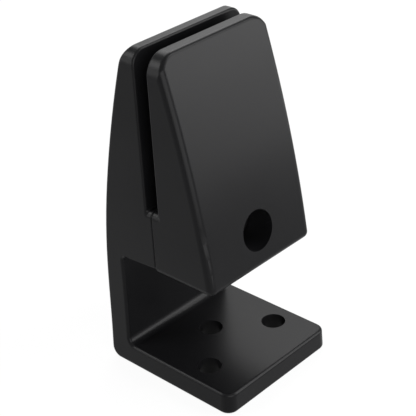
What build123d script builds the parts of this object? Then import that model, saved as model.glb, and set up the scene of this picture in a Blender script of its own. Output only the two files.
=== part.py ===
from build123d import *
import os

# Desk screen bracket. A C-shaped casting takes the edge of a desktop in its throat,
# and a clamp jaw closes on a screen that stands in the slot above it.
# Millimetres. +Z is up, -Y is the front (the desk's side), +X is to the right.
# The origin is the centre of the foot's underside.

# Foot and spine
foot_width = 40.3
foot_depth = 43.6
foot_thickness = 6.1
foot_corner_radius = 3.0
heel_radius = 3.0
spine_thickness = 7.0
instep_radius = 2.2
throat_height = 27.4
throat_corner_radius = 1.0

# Jaws
height = 93.9
jaw_width = 38.4
rear_jaw_top_thickness = 3.0
front_jaw_top_thickness = 3.9
front_jaw_bottom_thickness = 19.7
front_face_crown = 1.4
back_upright_height = 18.0
back_bend_height = 54.0
back_bend_inset = 3.4
back_shoulder_drop = 5.1
back_shoulder_overhang = 2.7
sides_upright_height = 30.0
rear_corner_radius = 4.0
front_corner_radius = 5.5

# Slot for the screen, and the plane below it where the two castings meet
slot_width = 4.1
slot_depth = 42.5
slot_centre_y = 2.0
parting_y = 2.3

# Edge rounding
cast_edge = 0.9
jaw_edge = 1.9
jaw_top_edge = 1.2
lip_edge = 0.6
slot_floor_edge = 2.0
parting_edge = 0.4

# Holes in the foot, for the screws that go up into the desktop
foot_hole_diameter = 6.6
foot_hole_spacing = 26.0
foot_pair_y = -8.6
foot_single_y = 2.9

# Clamp screw, a metric M6 socket head screw
screw_diameter = 6.0
screw_length = 16.0
screw_head_diameter = 10.0
screw_head_height = 6.0
screw_socket_width = 5.0
screw_socket_depth = 3.0
screw_height = 44.0
screw_web = 5.0
screw_tip_chamfer = 0.8
screw_head_edge = 0.6
screw_clearance = 0.1
thread_clearance = 0.05
tapped_depth = 14.0
head_clearance = 0.4

# Guide pins, dowels pressed into the body that the jaw slides on
pin_diameter = 4.0
pin_length = 16.0
pin_spacing = 24.0
pin_height = 43.0
pin_chamfer = 0.4
pin_running_clearance = 0.05
pin_end_clearance = 0.5

# Distance below which two coordinates count as equal
near_zero = 0.01

# Places that follow from the sizes above
foot_front = -foot_depth / 2
foot_back = foot_depth / 2
spine_front = foot_back - spine_thickness
throat_top = foot_thickness + throat_height
slot_floor = height - slot_depth
slot_front = slot_centre_y - slot_width / 2
slot_back = slot_centre_y + slot_width / 2
rear_top = slot_back + rear_jaw_top_thickness
front_top = slot_front - front_jaw_top_thickness
front_bottom = parting_y - front_jaw_bottom_thickness
screw_seat = parting_y - screw_web
pin_seat_depth = pin_length / 2
side_zone = jaw_width / 2 - front_corner_radius - near_zero
through_all = 2 * height


def level(value, target):
    """True where a coordinate lies on a given plane."""
    return abs(value - target) < near_zero


def sharp_edges_where(part, test):
    """Edges whose two faces meet at a clear angle and whose middle passes the test."""
    least_angle = 15
    found = []
    for edge in part.edges():
        middle = edge @ 0.5
        if not test(middle):
            continue
        normals = [face.normal_at(middle) for face in part.faces() if edge in face.edges()]
        if len(normals) == 2 and normals[0].get_angle(normals[1]) > least_angle:
            found.append(edge)
    return found


def drill(diameter, x, z, y_start, depth):
    """A bore along +Y from the plane y_start."""
    plane = Plane(origin=(x, y_start, z), z_dir=(0, 1, 0))
    return extrude(plane * Circle(diameter / 2), amount=depth)


def front_outline(corner_radius):
    """What a casting shows from the front: sides that flare to the foot, and round top corners."""
    half_foot = foot_width / 2
    half_jaw = jaw_width / 2
    flares = [
        TangentArc((side * half_jaw, sides_upright_height), (side * half_foot, 0), tangent=(0, -1))
        for side in (1, -1)
    ]
    upright = Polyline(
        (half_jaw, sides_upright_height),
        (half_jaw, height),
        (-half_jaw, height),
        (-half_jaw, sides_upright_height),
    )
    outline = make_face(Curve() + [*flares, upright, Line((-half_foot, 0), (half_foot, 0))])
    top_corners = [corner for corner in outline.vertices() if level(corner.Y, height)]
    outline = fillet(top_corners, corner_radius)
    return extrude(Plane.XZ * outline, amount=through_all, both=True)


def body_side_profile():
    """The C of the body, seen from the side, with a back that bends forward in three tangent arcs."""
    upright_end = (foot_back, back_upright_height)
    bend = (foot_back - back_bend_inset, back_bend_height)
    shoulder = (rear_top + back_shoulder_overhang, height - back_shoulder_drop)
    lower = TangentArc(upright_end, bend, tangent=(0, 1))
    upper = TangentArc(bend, shoulder, tangent=lower % 1)
    crest = TangentArc(shoulder, (rear_top, height), tangent=upper % 1)
    rest = Polyline(
        (rear_top, height),
        (slot_back, height),
        (slot_back, slot_floor),
        (parting_y, slot_floor),
        (parting_y, throat_top),
        (spine_front, throat_top),
        (spine_front, foot_thickness),
        (foot_front, foot_thickness),
        (foot_front, 0),
        (foot_back, 0),
        upright_end,
    )
    return make_face(Curve() + [lower, upper, crest, rest])


def jaw_side_profile():
    """The wedge of the front jaw, seen from the side, with a crowned front face."""
    top = (front_top, height)
    bottom = (front_bottom, throat_top)
    front = SagittaArc(top, bottom, -front_face_crown)
    rest = Polyline(
        bottom,
        (parting_y, throat_top),
        (parting_y, slot_floor),
        (slot_front, slot_floor),
        (slot_front, height),
        top,
    )
    return make_face(Curve() + [front, rest])


def ceiling_run_out(side):
    """Cutter that widens the throat ceiling's edge to the jaw's rounding at the parting face."""
    half = side * jaw_width / 2
    margin = 0.3

    def corner_section(y, radius):
        """A square corner less a quarter round, on the plane of the given y."""
        inner_x = half - side * radius
        outer_x = half + side * margin
        arc_end = (half, throat_top + radius)
        arc = RadiusArc((inner_x, throat_top), arc_end, side * radius)
        around = Polyline(
            arc_end,
            (outer_x, throat_top + radius),
            (outer_x, throat_top - margin),
            (inner_x, throat_top - margin),
            (inner_x, throat_top),
        )
        plane = Plane(origin=(0, y, 0), x_dir=(1, 0, 0), z_dir=(0, -1, 0))
        return plane * make_face(Curve() + [arc, around])

    wide = corner_section(parting_y - margin, jaw_edge)
    narrow = corner_section(spine_front - throat_corner_radius, cast_edge)
    return loft([wide, narrow])


def rounded(part, radius, test):
    """The part with every sharp edge that passes the test rounded."""
    return fillet(sharp_edges_where(part, test), radius)


def on_parting_face(p):
    return level(p.Y, parting_y)


def on_slot_floor_end(p):
    return level(p.Z, slot_floor) and abs(p.X) > side_zone


def make_body():
    """Foot, spine and rear jaw, cast as one piece."""
    profile = extrude(Plane.YZ * body_side_profile(), amount=foot_width / 2, both=True)
    body = profile & front_outline(rear_corner_radius)
    body = rounded(body, foot_corner_radius, lambda p: level(p.Y, foot_front) and abs(p.X) > side_zone)
    body = rounded(body, heel_radius, lambda p: level(p.Y, foot_back) and level(p.Z, 0))
    body = rounded(body, instep_radius, lambda p: level(p.Y, spine_front) and level(p.Z, foot_thickness))
    body = rounded(body, throat_corner_radius, lambda p: level(p.Y, spine_front) and level(p.Z, throat_top))
    body = rounded(body, cast_edge, on_body_outside)
    body = rounded(body, slot_floor_edge, on_slot_floor_end)
    body = rounded(body, lip_edge, lambda p: level(p.Y, slot_back) and not level(p.Z, slot_floor))
    body = rounded(body, parting_edge, on_parting_face)
    body = body - ceiling_run_out(1) - ceiling_run_out(-1)
    return body - foot_holes() - body_bores()


def on_body_outside(p):
    """The outer edges of foot, spine and rear jaw, without the slot's lips and the parting face."""
    if on_parting_face(p) or level(p.Y, slot_back) or level(p.Z, slot_floor):
        return False
    return abs(p.X) > side_zone or level(p.Y, foot_front) or level(p.Z, height)


def foot_holes():
    """Three plain holes in a triangle: a pair in front and one behind on the centre line."""
    half_spacing = foot_hole_spacing / 2
    places = [(-half_spacing, foot_pair_y), (half_spacing, foot_pair_y), (0, foot_single_y)]
    hole = extrude(Circle(foot_hole_diameter / 2), amount=foot_thickness)
    return Part() + [Pos(x, y, 0) * hole for x, y in places]


def pin_places():
    return [-pin_spacing / 2, pin_spacing / 2]


def body_bores():
    """The tapped hole for the clamp screw and the press seats of the two pins, from the parting face."""
    tapped = drill(screw_diameter + 2 * thread_clearance, 0, screw_height, parting_y, tapped_depth)
    seats = [drill(pin_diameter, x, pin_height, parting_y, pin_seat_depth) for x in pin_places()]
    return Part() + [tapped, *seats]


def make_front_jaw():
    """The loose jaw: wide roundings down its sides and foot, a fine one round its top."""
    wedge = extrude(Plane.YZ * jaw_side_profile(), amount=jaw_width / 2, both=True)
    jaw = rounded(wedge, jaw_edge, on_jaw_front_or_bottom)
    jaw = jaw - jaw_top_trim(wedge)
    jaw = rounded(jaw, slot_floor_edge, on_slot_floor_end)
    jaw = rounded(jaw, lip_edge, lambda p: level(p.Y, slot_front) and not level(p.Z, slot_floor))
    jaw = rounded(jaw, parting_edge, on_parting_face)
    return jaw - jaw_bores()


def on_jaw_front_or_bottom(p):
    if on_parting_face(p) or level(p.Y, slot_front) or level(p.Z, height):
        return False
    return level(p.Z, throat_top) or (abs(p.X) > side_zone and p.Y < front_top - front_face_crown)


def jaw_top_trim(wedge):
    """What the wedge loses at its top: the two round corners and the fine rounding of its front edge."""
    zone_height = front_corner_radius + front_jaw_top_thickness
    topped = wedge & front_outline(front_corner_radius)
    topped = rounded(topped, jaw_top_edge, lambda p: p.Y < front_top + near_zero and p.Z > slot_floor)
    top_zone = Pos(0, 0, height - zone_height / 2) * Box(2 * jaw_width, 2 * foot_depth, zone_height)
    return (wedge - topped) & top_zone


def jaw_bores():
    """The deep counterbore and clearance hole for the clamp screw, and the pins' sliding holes."""
    counterbore_diameter = screw_head_diameter + 2 * head_clearance
    counterbore = drill(counterbore_diameter, 0, screw_height, screw_seat - through_all, through_all)
    clearance_hole = drill(screw_diameter + 2 * screw_clearance, 0, screw_height, screw_seat, screw_web)
    depth = pin_length - pin_seat_depth + pin_end_clearance
    sliding_diameter = pin_diameter + 2 * pin_running_clearance
    slides = [drill(sliding_diameter, x, pin_height, parting_y - depth, depth) for x in pin_places()]
    return Part() + [counterbore, clearance_hole, *slides]


def make_clamp_screw():
    """Socket head screw with its head on the counterbore's floor. Its thread is left plain."""
    shank = drill(screw_diameter, 0, screw_height, screw_seat, screw_length)
    shank = chamfer(shank.edges().sort_by(Axis.Y)[-1], screw_tip_chamfer)
    head = drill(screw_head_diameter, 0, screw_height, screw_seat - screw_head_height, screw_head_height)
    head = fillet(head.edges().sort_by(Axis.Y)[0], screw_head_edge)
    socket_plane = Plane(origin=(0, screw_seat - screw_head_height, screw_height), z_dir=(0, 1, 0))
    hexagon = RegularPolygon(screw_socket_width / 2, 6, major_radius=False)
    socket = extrude(socket_plane * hexagon, amount=screw_socket_depth)
    return head + shank - socket


def make_guide_pins():
    """Two dowel pins with chamfered ends, half in the body and half in the jaw."""
    pins = []
    for x in pin_places():
        pin = drill(pin_diameter, x, pin_height, parting_y + pin_seat_depth - pin_length, pin_length)
        pins.append(chamfer(pin.edges(), pin_chamfer))
    return Compound(children=[pin.solid() for pin in pins])


pieces = {
    "body": make_body(),
    "front_jaw": make_front_jaw(),
    "clamp_screw": make_clamp_screw(),
    "guide_pins": make_guide_pins(),
}

os.makedirs("parts", exist_ok=True)
for name, piece in pieces.items():
    export_step(piece, f"parts/{name}.step")
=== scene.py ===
import math

import bpy
from mathutils import Matrix, Vector

# Desk screen bracket: a black coated casting that takes a desktop's edge in its throat
# and clamps a screen between two tall jaws. Metres, +Z up, -Y the front.

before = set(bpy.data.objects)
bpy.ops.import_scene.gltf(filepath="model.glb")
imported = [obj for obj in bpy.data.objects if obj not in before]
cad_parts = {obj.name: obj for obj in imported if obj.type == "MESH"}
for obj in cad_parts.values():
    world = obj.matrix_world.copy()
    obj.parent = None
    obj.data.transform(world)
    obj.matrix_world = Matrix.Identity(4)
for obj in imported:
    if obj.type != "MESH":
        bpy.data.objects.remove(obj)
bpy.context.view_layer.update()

MM = 0.001


# Colours and node trees

def linear(hex_colour):
    """An sRGB hex colour as linear RGBA."""
    channels = [int(hex_colour[i:i + 2], 16) / 255 for i in (0, 2, 4)]
    toned = [c / 12.92 if c <= 0.04045 else ((c + 0.055) / 1.055) ** 2.4 for c in channels]
    return (*toned, 1.0)


def add_node(tree, kind, settings=None, values=None, links=None):
    """Adds a node with its settings, the values of its free sockets and what feeds the linked ones."""
    node = tree.nodes.new(kind)
    for name, setting in (settings or {}).items():
        setattr(node, name, setting)
    for socket, value in (values or {}).items():
        node.inputs[socket].default_value = value
    for socket, source in (links or {}).items():
        tree.links.new(source, node.inputs[socket])
    return node


def new_material(name):
    """An empty node material with its output."""
    material = bpy.data.materials.new(name)
    material.use_nodes = True
    tree = material.node_tree
    tree.nodes.clear()
    return material, tree, tree.nodes.new("ShaderNodeOutputMaterial")


def surface_mm(tree):
    """The point on the piece in millimetres, so that every pattern's scale is its real size."""
    place = add_node(tree, "ShaderNodeTexCoord")
    enlarge = {"operation": "SCALE"}
    scaled = add_node(tree, "ShaderNodeVectorMath", enlarge, {"Scale": 1 / MM}, {0: place.outputs["Object"]})
    return scaled.outputs[0]


# Finishes

def black_powder_coat():
    """Satin black polyester powder, sprayed and baked on a zinc casting. It flows out to an even
    soft sheen, with an orange peel about 1.5 mm across and a fine dry grain. The specular level
    is lower than a usual coat's, matched to how little of the white floor the object mirrors."""
    peel_mm = 1.5
    # Powder grain is really about 0.05 mm. It is drawn at 0.4 mm so that it shows.
    grain_mm = 0.4
    # The coat is a little thicker in some places than in others.
    drift_mm = 20.0
    material, tree, output = new_material("powder_coated_zinc_casting")
    point = {"Vector": surface_mm(tree)}
    peel = add_node(tree, "ShaderNodeTexNoise", values={"Scale": 1 / peel_mm, "Detail": 1.0}, links=point)
    grain = add_node(tree, "ShaderNodeTexNoise", values={"Scale": 1 / grain_mm, "Detail": 2.0}, links=point)
    drift = add_node(tree, "ShaderNodeTexNoise", values={"Scale": 1 / drift_mm, "Detail": 1.0}, links=point)
    blacks = {6: linear("0b0b0c"), 7: linear("101011")}
    tone = add_node(tree, "ShaderNodeMix", {"data_type": "RGBA"}, blacks, {0: drift.outputs["Fac"]})
    satin = {"To Min": 0.27, "To Max": 0.33}
    sheen = add_node(tree, "ShaderNodeMapRange", values=satin, links={"Value": drift.outputs["Fac"]})
    waves = add_node(tree, "ShaderNodeBump", values={"Strength": 0.3, "Distance": 0.03 * MM}, links={
        "Height": peel.outputs["Fac"],
    })
    bumps = add_node(tree, "ShaderNodeBump", values={"Strength": 0.3, "Distance": 0.01 * MM}, links={
        "Height": grain.outputs["Fac"],
        "Normal": waves.outputs["Normal"],
    })
    polyester = {"IOR": 1.45, "Specular IOR Level": 0.085}
    shader = add_node(tree, "ShaderNodeBsdfPrincipled", values=polyester, links={
        "Base Color": tone.outputs[2],
        "Roughness": sheen.outputs["Result"],
        "Normal": bumps.outputs["Normal"],
    })
    tree.links.new(shader.outputs["BSDF"], output.inputs["Surface"])
    return material


def black_oxide_steel():
    """Hot black oxide on an alloy steel screw: a thin dark skin over metal that keeps a dull
    metallic sheen, a little patchy where the oil dried on it."""
    patch_mm = 3.0
    material, tree, output = new_material("black_oxide_alloy_steel")
    patches = add_node(tree, "ShaderNodeTexNoise", values={"Scale": 1 / patch_mm, "Detail": 2.0}, links={
        "Vector": surface_mm(tree),
    })
    greys = {6: linear("3a3a3c"), 7: linear("4a4a4c")}
    tone = add_node(tree, "ShaderNodeMix", {"data_type": "RGBA"}, greys, {0: patches.outputs["Fac"]})
    dull = {"To Min": 0.32, "To Max": 0.44}
    sheen = add_node(tree, "ShaderNodeMapRange", values=dull, links={"Value": patches.outputs["Fac"]})
    shader = add_node(tree, "ShaderNodeBsdfPrincipled", values={"Metallic": 1.0}, links={
        "Base Color": tone.outputs[2],
        "Roughness": sheen.outputs["Result"],
    })
    tree.links.new(shader.outputs["BSDF"], output.inputs["Surface"])
    return material


def ground_steel():
    """Dowel pins of hardened steel, ground round on their length: bright, with fine grinding
    marks that run round the pin."""
    # Grinding marks are really about 0.02 mm apart. They are drawn at 0.2 mm so that they show.
    along_mm = 0.2
    round_mm = 20.0
    material, tree, output = new_material("ground_hardened_steel")
    squeeze = {1: (1 / round_mm, 1 / along_mm, 1 / round_mm)}
    point = add_node(tree, "ShaderNodeVectorMath", {"operation": "MULTIPLY"}, squeeze, {0: surface_mm(tree)})
    marks = add_node(tree, "ShaderNodeTexNoise", values={"Scale": 1.0, "Detail": 2.0}, links={
        "Vector": point.outputs[0],
    })
    bright = {"To Min": 0.18, "To Max": 0.30}
    sheen = add_node(tree, "ShaderNodeMapRange", values=bright, links={"Value": marks.outputs["Fac"]})
    scratches = add_node(tree, "ShaderNodeBump", values={"Strength": 0.2, "Distance": 0.005 * MM}, links={
        "Height": marks.outputs["Fac"],
    })
    steel = {"Base Color": linear("b8b8b6"), "Metallic": 1.0}
    shader = add_node(tree, "ShaderNodeBsdfPrincipled", values=steel, links={
        "Roughness": sheen.outputs["Result"],
        "Normal": scratches.outputs["Normal"],
    })
    tree.links.new(shader.outputs["BSDF"], output.inputs["Surface"])
    return material


coat = black_powder_coat()
FINISHES = {
    "body": coat,
    "front_jaw": coat,
    "clamp_screw": black_oxide_steel(),
    "guide_pins": ground_steel(),
}
for node, finish in FINISHES.items():
    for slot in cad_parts[node].material_slots:
        slot.material = finish


# Floor and world

def looked_at(tree):
    """1 where the camera sees a surface, straight or mirrored in the object, and 0 for its light."""
    rays = add_node(tree, "ShaderNodeLightPath")
    larger = {"operation": "MAXIMUM"}
    mirrored = add_node(tree, "ShaderNodeMath", larger, links={
        0: rays.outputs["Is Glossy Ray"],
        1: rays.outputs["Is Transmission Ray"],
    })
    seen = add_node(tree, "ShaderNodeMath", larger, links={
        0: rays.outputs["Is Camera Ray"],
        1: mirrored.outputs[0],
    })
    return seen.outputs[0]


def lay_floor():
    """A plain white floor that keeps a trace of the object's soft shadow. It is white to the
    camera and in reflections, and plain matt white to the light that falls on it."""
    bpy.ops.mesh.primitive_plane_add(size=6)
    floor = bpy.context.object
    floor.name = "floor"
    material, tree, output = new_material("matt_white_floor")
    # The rest of what is seen is the lit floor itself, which carries the shadow.
    white_share = 0.92
    times = {"operation": "MULTIPLY"}
    share = add_node(tree, "ShaderNodeMath", times, {1: white_share}, {0: looked_at(tree)})
    matt = add_node(tree, "ShaderNodeBsdfDiffuse", values={"Color": linear("e6e6e6")})
    white = add_node(tree, "ShaderNodeEmission", values={"Color": linear("ffffff"), "Strength": 1.0})
    mix = add_node(tree, "ShaderNodeMixShader", links={
        0: share.outputs[0],
        1: matt.outputs[0],
        2: white.outputs[0],
    })
    tree.links.new(mix.outputs[0], output.inputs["Surface"])
    floor.data.materials.append(material)


def set_world():
    """White to the camera and in reflections, and a faint even light on the object."""
    world = bpy.data.worlds.new("studio")
    bpy.context.scene.world = world
    world.use_nodes = True
    tree = world.node_tree
    background = tree.nodes["Background"]
    background.inputs["Color"].default_value = linear("ffffff")
    faint_to_white = {"To Min": 0.1, "To Max": 1.0}
    strength = add_node(tree, "ShaderNodeMapRange", values=faint_to_white, links={"Value": looked_at(tree)})
    tree.links.new(strength.outputs["Result"], background.inputs["Strength"])


lay_floor()
set_world()


# Softboxes. Each has its azimuth from +Y towards +X and its elevation in degrees, its distance
# from the middle of the object and its size in metres, and its power in watts.

SOFTBOXES = [
    # Mirrored in the foot and in the tops of the jaws.
    ("back_high", 45, 50, 0.6, 0.4, 2.5),
    ("back_right", 62, 32, 0.6, 0.4, 0.55),
    # Mirrored in the front face, which fades from the top down.
    ("front_right", 133, 1, 0.35, 0.26, 1.0),
    ("right", 143, 19, 0.6, 0.3, 1.6),
    # Mirrored in the rounding down the front jaw's left side.
    ("front_left", 207, 6, 0.3, 0.28, 1.2),
    # Mirrored in the foot's upper edges, front and left.
    ("front_edge", 135, 44, 0.6, 0.25, 2.0),
    ("back_left", 316, 38, 0.6, 0.25, 2.0),
    # Lights the side walls.
    ("left", 312, 4, 0.6, 0.4, 1.6),
]


def add_softbox(name, azimuth, elevation, distance, size, power):
    """A square area lamp aimed at the middle of the object."""
    middle = Vector((0, 0, 45)) * MM
    az = math.radians(azimuth)
    el = math.radians(elevation)
    out = Vector((math.sin(az) * math.cos(el), math.cos(az) * math.cos(el), math.sin(el)))
    lamp = bpy.data.lights.new(name, "AREA")
    lamp.energy = power
    lamp.size = size
    holder = bpy.data.objects.new(name, lamp)
    holder.location = middle + out * distance
    holder.rotation_mode = "QUATERNION"
    holder.rotation_quaternion = (-out).to_track_quat("-Z", "Y")
    bpy.context.collection.objects.link(holder)


for softbox in SOFTBOXES:
    add_softbox(*softbox)


# Camera

def place_camera():
    """The photograph's viewpoint: front left of the object and above it."""
    place_mm = Vector((-195.588, -191.232, 200.296))
    yaw = math.radians(45.61167)
    pitch = math.radians(28.69218)
    roll = math.radians(-3.42665)
    ahead = Vector((math.cos(pitch) * math.sin(yaw), math.cos(pitch) * math.cos(yaw), -math.sin(pitch)))
    level_right = Vector((math.cos(yaw), -math.sin(yaw), 0))
    level_up = level_right.cross(ahead)
    right = math.cos(roll) * level_right + math.sin(roll) * level_up
    up = math.cos(roll) * level_up - math.sin(roll) * level_right
    # The lens, in pixels of the photograph.
    picture_width = 416
    focal_length = 1216.3927
    centre_x, centre_y = 209.538, 188.871
    lens = bpy.data.cameras.new("camera")
    lens.sensor_width = 36
    lens.lens = focal_length / picture_width * lens.sensor_width
    lens.shift_x = (picture_width / 2 - centre_x) / picture_width
    lens.shift_y = (centre_y - picture_width / 2) / picture_width
    lens.clip_start = 0.01
    lens.clip_end = 20
    camera = bpy.data.objects.new("camera", lens)
    axes = Matrix((right, up, -ahead)).transposed()
    camera.matrix_world = Matrix.Translation(place_mm * MM) @ axes.to_4x4()
    bpy.context.collection.objects.link(camera)
    bpy.context.scene.camera = camera


place_camera()

bpy.context.scene.view_settings.view_transform = "Standard"
